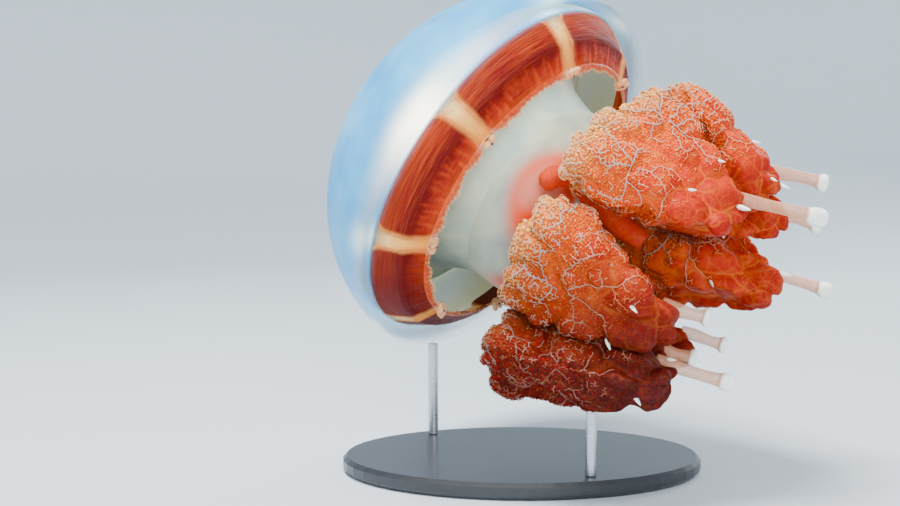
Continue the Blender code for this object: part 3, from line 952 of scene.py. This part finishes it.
def normals_of(points, faces):
    """Smooth unit normals of a mesh given as arrays."""
    corners = points[faces]
    across = np.cross(corners[:, 2] - corners[:, 0], corners[:, 3] - corners[:, 1])
    total = np.zeros_like(points)
    for corner in range(4):
        for axis in range(3):
            total[:, axis] += np.bincount(faces[:, corner], across[:, axis], len(points))
    return unit(total)


def spread(values, faces, rounds):
    """Evens out values over the skin, each round taking the mean of the faces' corners."""
    for _ in range(rounds):
        middle = values[faces].mean(axis=1)
        total = np.bincount(faces.ravel(), np.repeat(middle, 4), len(values))
        values = total / np.maximum(np.bincount(faces.ravel(), minlength=len(values)), 1)
    return values


def nearest_tree(cages):
    """A search tree over all the cages' points, and the cage that each point belongs to."""
    tree = kdtree.KDTree(sum(len(points) for points, _ in cages))
    owner = []
    for index, (points, _) in enumerate(cages):
        for point in points:
            tree.insert(point, len(owner))
            owner.append(index)
    tree.balance()
    return tree, np.array(owner)


class Flesh:
    """What pieces on the arms ask of a place: which arm, how far down it, and where on the unwrap."""

    def __init__(self, arms, discs):
        self.arms, self.discs = arms, discs
        self.arm_tree, self.owner = nearest_tree(arms)
        self.disc_tree, _ = nearest_tree(discs)
        self.tops = [np.percentile(points[:, 2], 99) for points, _ in arms]
        self.tips = [points[:, 2].min() for points, _ in arms]
        self.middles = [[np.polyfit(arm[:, 2], arm[:, axis], 2) for axis in (0, 1)] for arm, _ in arms]

    def near(self, points):
        """The nearest arm to each point, the distance to it, and the distance to the disc."""
        found = [self.arm_tree.find(point)[1:] for point in points.tolist()]
        disc = np.array([self.disc_tree.find(point)[2] for point in points.tolist()])
        arm = self.owner[[index for index, _ in found]]
        return arm, np.array([distance for _, distance in found]), disc

    def share(self, points, arm):
        """How far down its arm each point is, from 0 at the bell-ward edge to 1 at the tip."""
        tops, tips = np.array(self.tops)[arm], np.array(self.tips)[arm]
        return np.clip((tops - points[:, 2]) / (tops - tips), 0, 1)

    def map_place(self, points, arm):
        """A place on the arms' unwrap: a tile for each arm, the angle round it and the share down it."""
        places = zip(arm, points[:, 2])
        middles = np.array([[np.polyval(fit, z) for fit in self.middles[a]] for a, z in places])
        off = points[:, :2] - middles
        own = np.arctan2(middles[:, 1], middles[:, 0])
        angle = (np.arctan2(off[:, 1], off[:, 0]) - own + math.pi) % TURN / TURN
        across = (arm % 3 + 0.04 + 0.92 * angle) / 3
        return np.stack((across, (arm // 3 + 0.04 + 0.92 * self.share(points, arm)) / 3), axis=-1)


def low_red_and_shade(world):
    """0 on the upper arms to 1 on the lowest, which are deep red; at the far right it starts lower.

    The deep red is partly the arms' own colour and partly painted shade.
    """
    right = smooth(0.03, 0.07, world[:, 0])
    return smooth(0, 1, (0.108 - 0.032 * right - world[:, 2]) / (0.064 - 0.018 * right))


def lobed(points, faces, frond):
    """Raises the arms' folds, lobes and nodules; returns points and how near folds and lobes meet."""
    own = to_animal(points)
    normals = normals_of(points, faces)
    drift = np.stack([soft_noise(own, 8.0, seed) for seed in (1.3, 2.7, 3.9)], axis=-1)
    folds = cells((own + 3.0 * drift) * (1, 1, 0.8), 13.0, 3.0)
    lobes = cells(own + 2.0 * drift, 6.0, 7.0)
    nodules = cells(own + 0.8 * drift, 2.0, 17.0)
    depth = 1.0 - 3.0 * (1 - smooth(0.0, 0.42, folds[1])) - 1.2 * folds[0] ** 2
    depth += 0.1 - 0.45 * (1 - smooth(0.0, 0.4, lobes[1])) - 0.4 * lobes[0] ** 2
    depth = spread(depth, faces, 3) + 0.30 * (0.5 - spread(nodules[0], faces, 1))
    points = points + normals * (depth * frond * MM)[:, None]
    return points, folds[1], lobes[1]


def gonads(points):
    """The four arched gonads that show through the disc: up to 1 near the viewer, weaker elsewhere."""
    quarter = TURN / PILLARS
    azimuth = azimuth_of(points) - GONAD_TURN
    off = (azimuth + quarter / 2) % quarter - quarter / 2
    arch = np.hypot(off / GONAD_WIDTH, (points[:, 2] + 31.0) / 13.5)
    facing = mix(0.4, 1.0, np.abs(azimuth) < quarter / 2)
    return facing * smooth(1.3, 0.7, arch) * (0.7 + 0.3 * np.exp(-(((arch - 0.85) / 0.16) ** 2)))


def build_flesh(flesh, material):
    """One skin over the arms, the disc and the pillars, with lobes raised on the arms."""
    points, faces = fused(flesh.arms + flesh.discs)
    own = to_animal(points)
    arm, distance, disc = flesh.near(own)
    inner = radius_of(own) < 33
    on_arm = (distance < disc) & ~((own[:, 2] > -35) & inner)
    frond = np.clip(spread(on_arm.astype(float), faces, 3), 0, 1)
    share = flesh.share(own, arm)
    glow = 0.8 * np.exp(-((distance / 3.5) ** 2)) + 0.95 * gonads(own)
    glow = np.minimum(glow, 1.0) * (1 - frond) * (own[:, 2] < 0)
    points, fold, edge = lobed(points, faces, frond)
    mesh = new_mesh("arm_flesh", points, faces)
    # low: the lower arms' deep red, partly their own colour and partly painted shade
    set_values(mesh, tip=share, low=low_red_and_shade(points), frond=frond)
    set_values(mesh, fold=fold, edge=edge, glow=spread(glow, faces, 6))
    piece = add_piece("arm_flesh", mesh, material)
    pillars = [f"pillar_{i + 1}" for i in range(PILLARS)]
    nodes = ["arm_disc"] + pillars + [f"arm_{i + 1}" for i in range(ARMS)]
    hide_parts(*nodes)
    return Skin(points, faces, own, normals_of(points, faces), arm, share, frond)


# --- Coat: mouthlets and canals ---
def outwardness(skin):
    """1 where the skin faces out from the cluster's axis or up to the bell, below 0 where it faces in."""
    facing = skin.normals @ (POSE_TURN / MM)
    return np.maximum((facing[:, :2] * unit(skin.own[:, :2])).sum(axis=1), facing[:, 2])


def scattered(places, spacing, seed):
    """Picks places at least their own spacing apart, in a fixed random order; returns their indices."""
    order = np.random.default_rng(seed).permutation(len(places))
    cell = float(np.max(spacing))
    keys = np.floor(places / cell).astype(int).tolist()
    around = [(x, y, z) for x in (-1, 0, 1) for y in (-1, 0, 1) for z in (-1, 0, 1)]
    taken, chosen = {}, []
    spots, gaps = places.tolist(), (spacing**2).tolist()
    for index in order.tolist():
        (kx, ky, kz), (px, py, pz), gap = keys[index], spots[index], gaps[index]
        for x, y, z in around:
            near = taken.get((kx + x, ky + y, kz + z), ())
            if any((px - qx) ** 2 + (py - qy) ** 2 + (pz - qz) ** 2 < gap for qx, qy, qz in near):
                break
        else:
            taken.setdefault((kx, ky, kz), []).append((px, py, pz))
            chosen.append(index)
    return np.array(chosen)


def bud_shape():
    """A rounded bud on the unit circle, in rings from its top down to its foot: points and triangles."""
    angles = np.radians((46, 100))
    around = np.linspace(0, TURN, BUD_SIDES, endpoint=False)
    rings = [ring_points(math.sin(a), around + a, math.cos(a)) for a in angles]
    points = np.vstack([[(0.0, 0.0, 1.0)]] + rings)
    step = np.arange(BUD_SIDES)
    after = (step + 1) % BUD_SIDES
    faces = [np.stack((0 * step, 1 + step, 1 + after), axis=-1)]
    for ring in range(len(angles) - 1):
        upper, lower = 1 + ring * BUD_SIDES, 1 + (ring + 1) * BUD_SIDES
        faces.append(np.stack((upper + step, lower + step, lower + after), axis=-1))
        faces.append(np.stack((upper + step, lower + after, upper + after), axis=-1))
    return points, np.vstack(faces)


def across_of(normals):
    """Two directions square to each normal."""
    guide = np.where(np.abs(normals[:, 2:]) < 0.9, [[0.0, 0.0, 1.0]], [[1.0, 0.0, 0.0]])
    first = unit(np.cross(normals, guide))
    return first, np.cross(normals, first)


def build_buds(name, roots, normals, radii, marks, places, material):
    """Joined mouthlets: one bud on each root, leaning at random, with the skin's marks and map place."""
    rng = np.random.default_rng(len(roots))
    lean = unit(normals + rng.normal(0, 0.28, normals.shape))
    first, second = across_of(lean)
    shape, triangles = bud_shape()
    tall = radii * rng.uniform(0.5, 0.95, len(roots))
    points = (
        roots[:, None]
        + first[:, None] * (shape[:, 0] * radii[:, None])[..., None]
        + second[:, None] * (shape[:, 1] * radii[:, None])[..., None]
        + lean[:, None] * ((shape[:, 2] + 0.10) * tall[:, None])[..., None]
    )
    count = len(shape)
    faces = (triangles[None] + np.arange(len(roots))[:, None, None] * count).reshape(-1, 3)
    mesh = new_mesh(name, points.reshape(-1, 3), faces)
    height = np.tile((shape[:, 2] - shape[:, 2].min()) / (1 - shape[:, 2].min()), len(roots))
    own = np.repeat(rng.random(len(roots)), count)
    set_values(mesh, height=height, own=own)
    set_values(mesh, **{mark: np.repeat(values, count) for mark, values in marks.items()})
    patch = (places[:, None] + shape[:, :2] * PATCH_RADIUS).reshape(-1, 2)
    set_uv(mesh, patch[faces.ravel()])
    return add_piece(name, mesh, material)


def grown_canals(targets, points, parents, snap, reach, step):
    """Lengthens branching lines in steps towards the targets within reach (mm): points and parents."""
    rng = np.random.default_rng(len(targets))
    gaps = np.linalg.norm(targets[:, None] - points[None], axis=2)
    nearest, distance = gaps.argmin(axis=1), gaps.min(axis=1)
    waiting = distance > step
    for _ in range(90):
        pulled = np.flatnonzero(waiting & (distance < reach))
        if not len(pulled):
            break
        pull = unit(targets[pulled] - points[nearest[pulled]])
        sources, which = np.unique(nearest[pulled], return_inverse=True)
        heading = unit(np.stack([np.bincount(which, pull[:, axis]) for axis in range(3)], axis=-1))
        heading = unit(heading + rng.normal(0, 0.28, heading.shape))
        fresh = snap(points[sources] + heading * step)
        kept = np.linalg.norm(fresh[:, None] - points[None], axis=2).min(axis=1) > step * 0.5
        waiting[pulled[~kept[which] & (rng.random(len(pulled)) < 0.12)]] = False
        if not kept.any():
            continue
        fresh, sources = fresh[kept], sources[kept]
        gaps = np.linalg.norm(targets[:, None] - fresh[None], axis=2)
        closest, least = gaps.argmin(axis=1), gaps.min(axis=1)
        closer = least < distance
        nearest[closer] = closest[closer] + len(points)
        distance[closer] = least[closer]
        points = np.vstack((points, fresh))
        parents = np.concatenate((parents, sources))
        waiting &= distance > step
    return points, parents


def canal_girths(parents):
    """Each point's radius, by how many branches it feeds."""
    fed = np.ones(len(parents))
    for index in range(len(parents) - 1, -1, -1):
        if parents[index] >= 0:
            fed[parents[index]] += fed[index]
    return np.clip(CANAL_RADII[0] + 0.026 * (fed - 1) ** 0.5, *CANAL_RADII)


def build_canals(name, points, parents, girths, normals, marks, places, material):
    """The lines as three-sided tubes on the skin: short closed lengths, each with its own map patch."""
    child = np.flatnonzero(parents >= 0)
    reach = np.linalg.norm(points[child] - points[parents[child]], axis=1) / MM
    child = child[(reach > CANAL_LENGTHS[0]) & (reach < CANAL_LENGTHS[1])]
    parent = parents[child]
    up = normals[child]
    side = unit(np.cross(unit(points[child] - points[parent]), up))
    rings = []
    for ends in (parent, child):
        girth = girths[ends][:, None] * MM
        middle = points[ends]
        top = middle + up * (girth * 0.35 + 0.1 * MM)
        rings.append(np.stack([middle + side * girth, top, middle - side * girth], axis=1))
    corners = np.concatenate(rings, axis=1)
    pairs = [(i, (i + 1) % 3) for i in range(3)]
    walls = [(i, j, i + 3) for i, j in pairs] + [(j, j + 3, i + 3) for i, j in pairs]
    triangles = np.array(walls + [(2, 1, 0), (3, 4, 5)])
    faces = (triangles[None] + np.arange(len(child))[:, None, None] * 6).reshape(-1, 3)
    mesh = new_mesh(name, corners.reshape(-1, 3), faces)
    set_values(mesh, **{mark: np.repeat(values[child], 6) for mark, values in marks.items()})
    corner = np.array([(math.cos(i * TURN / 6), math.sin(i * TURN / 6)) for i in range(6)])
    patch = (places[child][:, None] + corner * PATCH_RADIUS).reshape(-1, 2)
    set_uv(mesh, patch[faces.ravel()])
    return add_piece(name, mesh, material)


def build_mouthlets(index, flesh, skin, sites, reach, finish):
    """One arm's buds, largest at its bell-ward edge and thinning out toward the tip."""
    thinning = smooth(0.45, BUD_REACH, reach[sites])
    radii = mix(BUD_SIZES[1], BUD_SIZES[0], smooth(0.03, 0.35, reach[sites])) * mix(1.0, 0.5, thinning)
    spacing = radii * mix(1.5, 3.2, thinning)
    chosen = scattered(skin.own[sites], spacing, 40 + index)
    roots, radii = sites[chosen], radii[chosen] * MM
    marks = {"tip": skin.share[roots], "low": low_red_and_shade(skin.points[roots])}
    places = flesh.map_place(skin.own[roots], skin.arm[roots])
    name = f"arm_{index + 1}_mouthlets"
    build_buds(name, skin.points[roots], skin.normals[roots], radii, marks, places, finish)


def build_coat(flesh, skin, bud_finish, canal_finish):
    """Mouthlets and canals on every arm's outer faces, down to about three quarters of its length."""
    facing = outwardness(skin)
    surface = BVHTree.FromPolygons(skin.points.tolist(), skin.faces.tolist())
    reach = skin.share + 0.16 * soft_noise(skin.own, 9.0, 21.0)

    def snap(places):
        return to_animal([tuple(surface.find_nearest(place)[0]) for place in to_world(places).tolist()])

    for index in range(ARMS):
        least = OPEN_FACING if index == OPEN_ARM else COAT_FACING
        mine = (skin.arm == index) & (skin.frond > 0.6) & (facing > least)
        build_mouthlets(index, flesh, skin, np.flatnonzero(mine & (reach < BUD_REACH)), reach, bud_finish)
        rooted = (reach > START_REACH[0]) & (reach < START_REACH[1])
        starts = np.flatnonzero(mine & rooted & (facing > 0.5))
        starts = starts[scattered(skin.own[starts], np.full(len(starts), START_SPACING), 5)]
        sites = np.flatnonzero(mine & (reach > CANAL_REACH[0]) & (reach < CANAL_REACH[1]))
        trunks = sites[scattered(skin.own[sites], np.full(len(sites), TRUNK_SPACING), 50 + index)]
        spacing = TWIG_SPACING * mix(1.0, 2.4, smooth(0.35, CANAL_REACH[1], reach[sites]))
        twigs = sites[scattered(skin.own[sites], spacing, 60 + index)]
        lines, parents = skin.own[starts], np.full(len(starts), -1)
        lines, parents = grown_canals(skin.own[trunks], lines, parents, snap, TRUNK_REACH, TRUNK_STEP)
        stars = sites[scattered(skin.own[sites], np.full(len(sites), STAR_SPACING), 70 + index)]
        lines = np.vstack((lines, skin.own[stars]))
        parents = np.concatenate((parents, np.full(len(stars), -1)))
        lines, parents = grown_canals(skin.own[twigs], lines, parents, snap, TWIG_REACH, TWIG_STEP)
        hits = [surface.find_nearest(place)[:2] for place in to_world(lines).tolist()]
        base = np.array([tuple(place) for place, _ in hits])
        normals = np.array([tuple(normal) for _, normal in hits])
        girths = canal_girths(parents)
        arm = np.full(len(lines), index)
        share = flesh.share(lines, arm)
        lift = (mix(0.72, 0.22, smooth(0.2, 0.65, share)) * MM)[:, None]
        marks = {"tip": share, "low": low_red_and_shade(base), "girth": girths / CANAL_RADII[1]}
        places = flesh.map_place(lines, arm)
        name = f"arm_{index + 1}_canals"
        build_canals(name, base + normals * lift, parents, girths, normals, marks, places, canal_finish)


# --- Stand ---
def dress_stand():
    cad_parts["stand_base"].material_slots[0].material = base_material()
    steel = steel_material()
    for index in (1, 2):
        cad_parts[f"stand_rod_{index}"].material_slots[0].material = steel


def club_girth(share):
    """A waisted shaft, then a swollen head with a blunt end."""
    shaft = 1 - 0.14 * np.sin(math.pi * np.minimum(share / 0.72, 1.0))
    head = 0.30 * smooth(0.70, 0.80, share)
    return (shaft + head) * np.sqrt(np.clip(1 - np.clip((share - 0.86) / 0.14, 0, 1) ** 2.4, 0, 1))


def build_clubs(material):
    """Each terminal club: a smooth translucent shaft out of its arm and a three-sided white head."""
    for index in range(ARMS):
        points = to_animal(vertex_vectors(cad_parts[f"club_{index + 1}"].data, "co"))
        trail = unit(np.linalg.inv(POSE_TURN / MM) @ np.array(CLUB_DIRECTION))
        along = points @ trail
        middle = points.mean(axis=0)
        start = middle + trail * (along.min() - middle @ trail)
        length = along.max() - along.min()
        root = start - trail * CLUB_ROOT
        first, second = (side[0] for side in across_of(trail[None]))
        share = np.linspace(-CLUB_ROOT / length, 1.0, CLUB_ROWS)
        angle = np.linspace(0, TURN, CLUB_STEPS, endpoint=False)
        facets = 1 + 0.13 * smooth(0.7, 0.82, share)[:, None] * np.cos(3 * angle)[None]
        girth = (CLUB_RADIUS * club_girth(np.maximum(share, 0.0)))[:, None] * facets
        bend = 0.5 * np.sin(share * 3.0 + index)[:, None, None] * second
        spokes = np.cos(angle)[:, None] * first + np.sin(angle)[:, None] * second
        shape = start + share[:, None, None] * length * trail + bend + girth[..., None] * spokes[None]
        ends = [np.broadcast_to(end, (1, CLUB_STEPS, 3)) for end in (root, shape[-1].mean(axis=0))]
        shape = np.concatenate((ends[0], shape, ends[1]))
        name = f"club_{index + 1}_jelly"
        mesh = new_mesh(name, to_world(shape.reshape(-1, 3)), ring_faces(len(shape), CLUB_STEPS))
        share = np.concatenate((share[:1], share, share[-1:]))
        set_values(mesh, head=np.repeat(smooth(0.70, 0.76, share), CLUB_STEPS))
        piece = add_piece(name, welded(mesh), material)
        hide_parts(f"club_{index + 1}")


def build_lobe(material):
    """The smooth orange root of an arm: a free lobe on the disc, and its stalk in between the arms."""
    path = curve_through(LOBE_PATH, 48)
    share = np.linspace(0, 1, len(path))
    girth = np.interp(share, *np.transpose(LOBE_GIRTHS))
    girth = girth * np.sqrt(np.clip(1 - (1 - share / 0.06).clip(0, 1) ** 2, 0, 1))
    ahead = unit(np.gradient(path, axis=0))
    first = unit(np.cross(ahead, np.cross(ahead[0], ahead[-1])))
    second = np.cross(ahead, first)
    angle = np.linspace(0, TURN, 24, endpoint=False)
    rings = np.cos(angle)[None, :, None] * first[:, None] + np.sin(angle)[None, :, None] * second[:, None]
    points = (path[:, None] + girth[:, None, None] * rings).reshape(-1, 3)
    points += 0.35 * soft_noise(points, 4.0, 6.0)[:, None]
    mesh = new_mesh("arm_root_lobe", to_world(points), ring_faces(len(path), len(angle)))
    one = np.ones(len(points))
    set_values(mesh, tip=0.85 * one, low=0 * one, frond=0.75 * one, fold=one, edge=one, glow=one)
    add_piece("arm_root_lobe", welded(mesh), material)


def build_grains(skin, material):
    """Small white clubs that stand out of the arms' tissue toward the tips."""
    facing = outwardness(skin)
    near_tip = (skin.share > GRAIN_REACH[0]) & (skin.share < GRAIN_REACH[1])
    sites = np.flatnonzero((skin.frond > 0.9) & near_tip & (facing > 0.30))
    sites = sites[scattered(skin.own[sites], np.full(len(sites), GRAIN_SPACING), 9)]
    grains = []
    for count, site in enumerate(sites):
        ahead = 0.5 * (skin.normals[site] @ (POSE_TURN / MM)) - (0, 0, 0.9)
        turn = Vector(ahead).to_track_quat("Z", "Y").to_matrix()
        size = 0.55 + 0.45 * ((count * 7) % 5) / 4
        radii = (1.2 * size, 1.3 * size, 2.8 * size)
        grains.append(blob(radii, skin.own[site] + 1.2 * ahead, np.array(turn), count, 14, taper=0.7))
    points, faces = joined(grains)
    mesh = welded(new_mesh("arm_grains", to_world(points), faces))
    set_values(mesh, head=np.ones(len(mesh.vertices)))
    add_piece("arm_grains", mesh, material)


# --- Stage ---
def build_cove():
    """A pale round cove, floor and wall in one, so that every side has the same backdrop."""
    floor = [(0.0, 0.0), (0.5, 0.0), (COVE_RADIUS - 0.5, 0.0)]
    wall = [(COVE_RADIUS - 0.12, 0.14), (COVE_RADIUS, 0.6), (COVE_RADIUS, COVE_HEIGHT)]
    outline = curve_through(floor + wall, 48)
    outline[:, 0] = np.maximum(outline[:, 0], 0)
    outline[:, 1] = np.maximum(outline[:, 1], 0)
    points, faces = revolved(outline, 96)
    finish = Finish("pale_backdrop", Roughness=0.9)
    finish.set("Base Color", paint(206, 214, 220))
    mesh = welded(new_mesh("cove", points - np.array((0, 0, 0.0002)), faces[:, ::-1]))
    mesh.materials.append(finish.material)
    cove = bpy.data.objects.new("cove", mesh)
    bpy.context.scene.collection.objects.link(cove)


def add_light(name, place, size, power):
    light = bpy.data.lights.new(name, "AREA")
    light.size = size
    light.energy = power
    lamp = bpy.data.objects.new(name, light)
    lamp.location = place
    lamp.rotation_euler = (Vector(LIGHT_TARGET) - Vector(place)).to_track_quat("-Z", "Y").to_euler()
    bpy.context.scene.collection.objects.link(lamp)


def light_scene():
    for light in LIGHTS:
        add_light(*light)
    world = bpy.data.worlds.new("studio")
    world.use_nodes = True
    background = world.node_tree.nodes["Background"]
    background.inputs["Color"].default_value = STUDIO_COLOUR
    background.inputs["Strength"].default_value = STUDIO_STRENGTH
    bpy.context.scene.world = world


def add_camera():
    lens = bpy.data.cameras.new("camera")
    lens.lens = CAMERA_LENS
    lens.sensor_width = 36.0
    camera = bpy.data.objects.new("camera", lens)
    camera.location = CAMERA_PLACE
    camera.rotation_euler = CAMERA_TURN
    bpy.context.scene.collection.objects.link(camera)
    bpy.context.scene.camera = camera


def build_all():
    add_camera()
    build_cove()
    light_scene()
    jelly = jelly_material()
    build_bell(jelly)
    build_bell_depth(jelly)
    build_membrane(membrane_material())
    muscle = muscle_material()
    gap = gap_material()
    for index in range(OCTANTS):
        build_muscle(index, muscle)
        build_gap(index, gap)
    build_sense_organs(hood_material(), dot_material())
    build_frill(frill_material())
    flesh = Flesh(arm_cages(), disc_cages())
    tissue = flesh_material()
    skin = build_flesh(flesh, tissue)
    build_coat(flesh, skin, bud_material(), canal_material())
    build_lobe(tissue)
    club = club_material()
    build_clubs(club)
    build_grains(skin, club)
    dress_stand()


build_all()
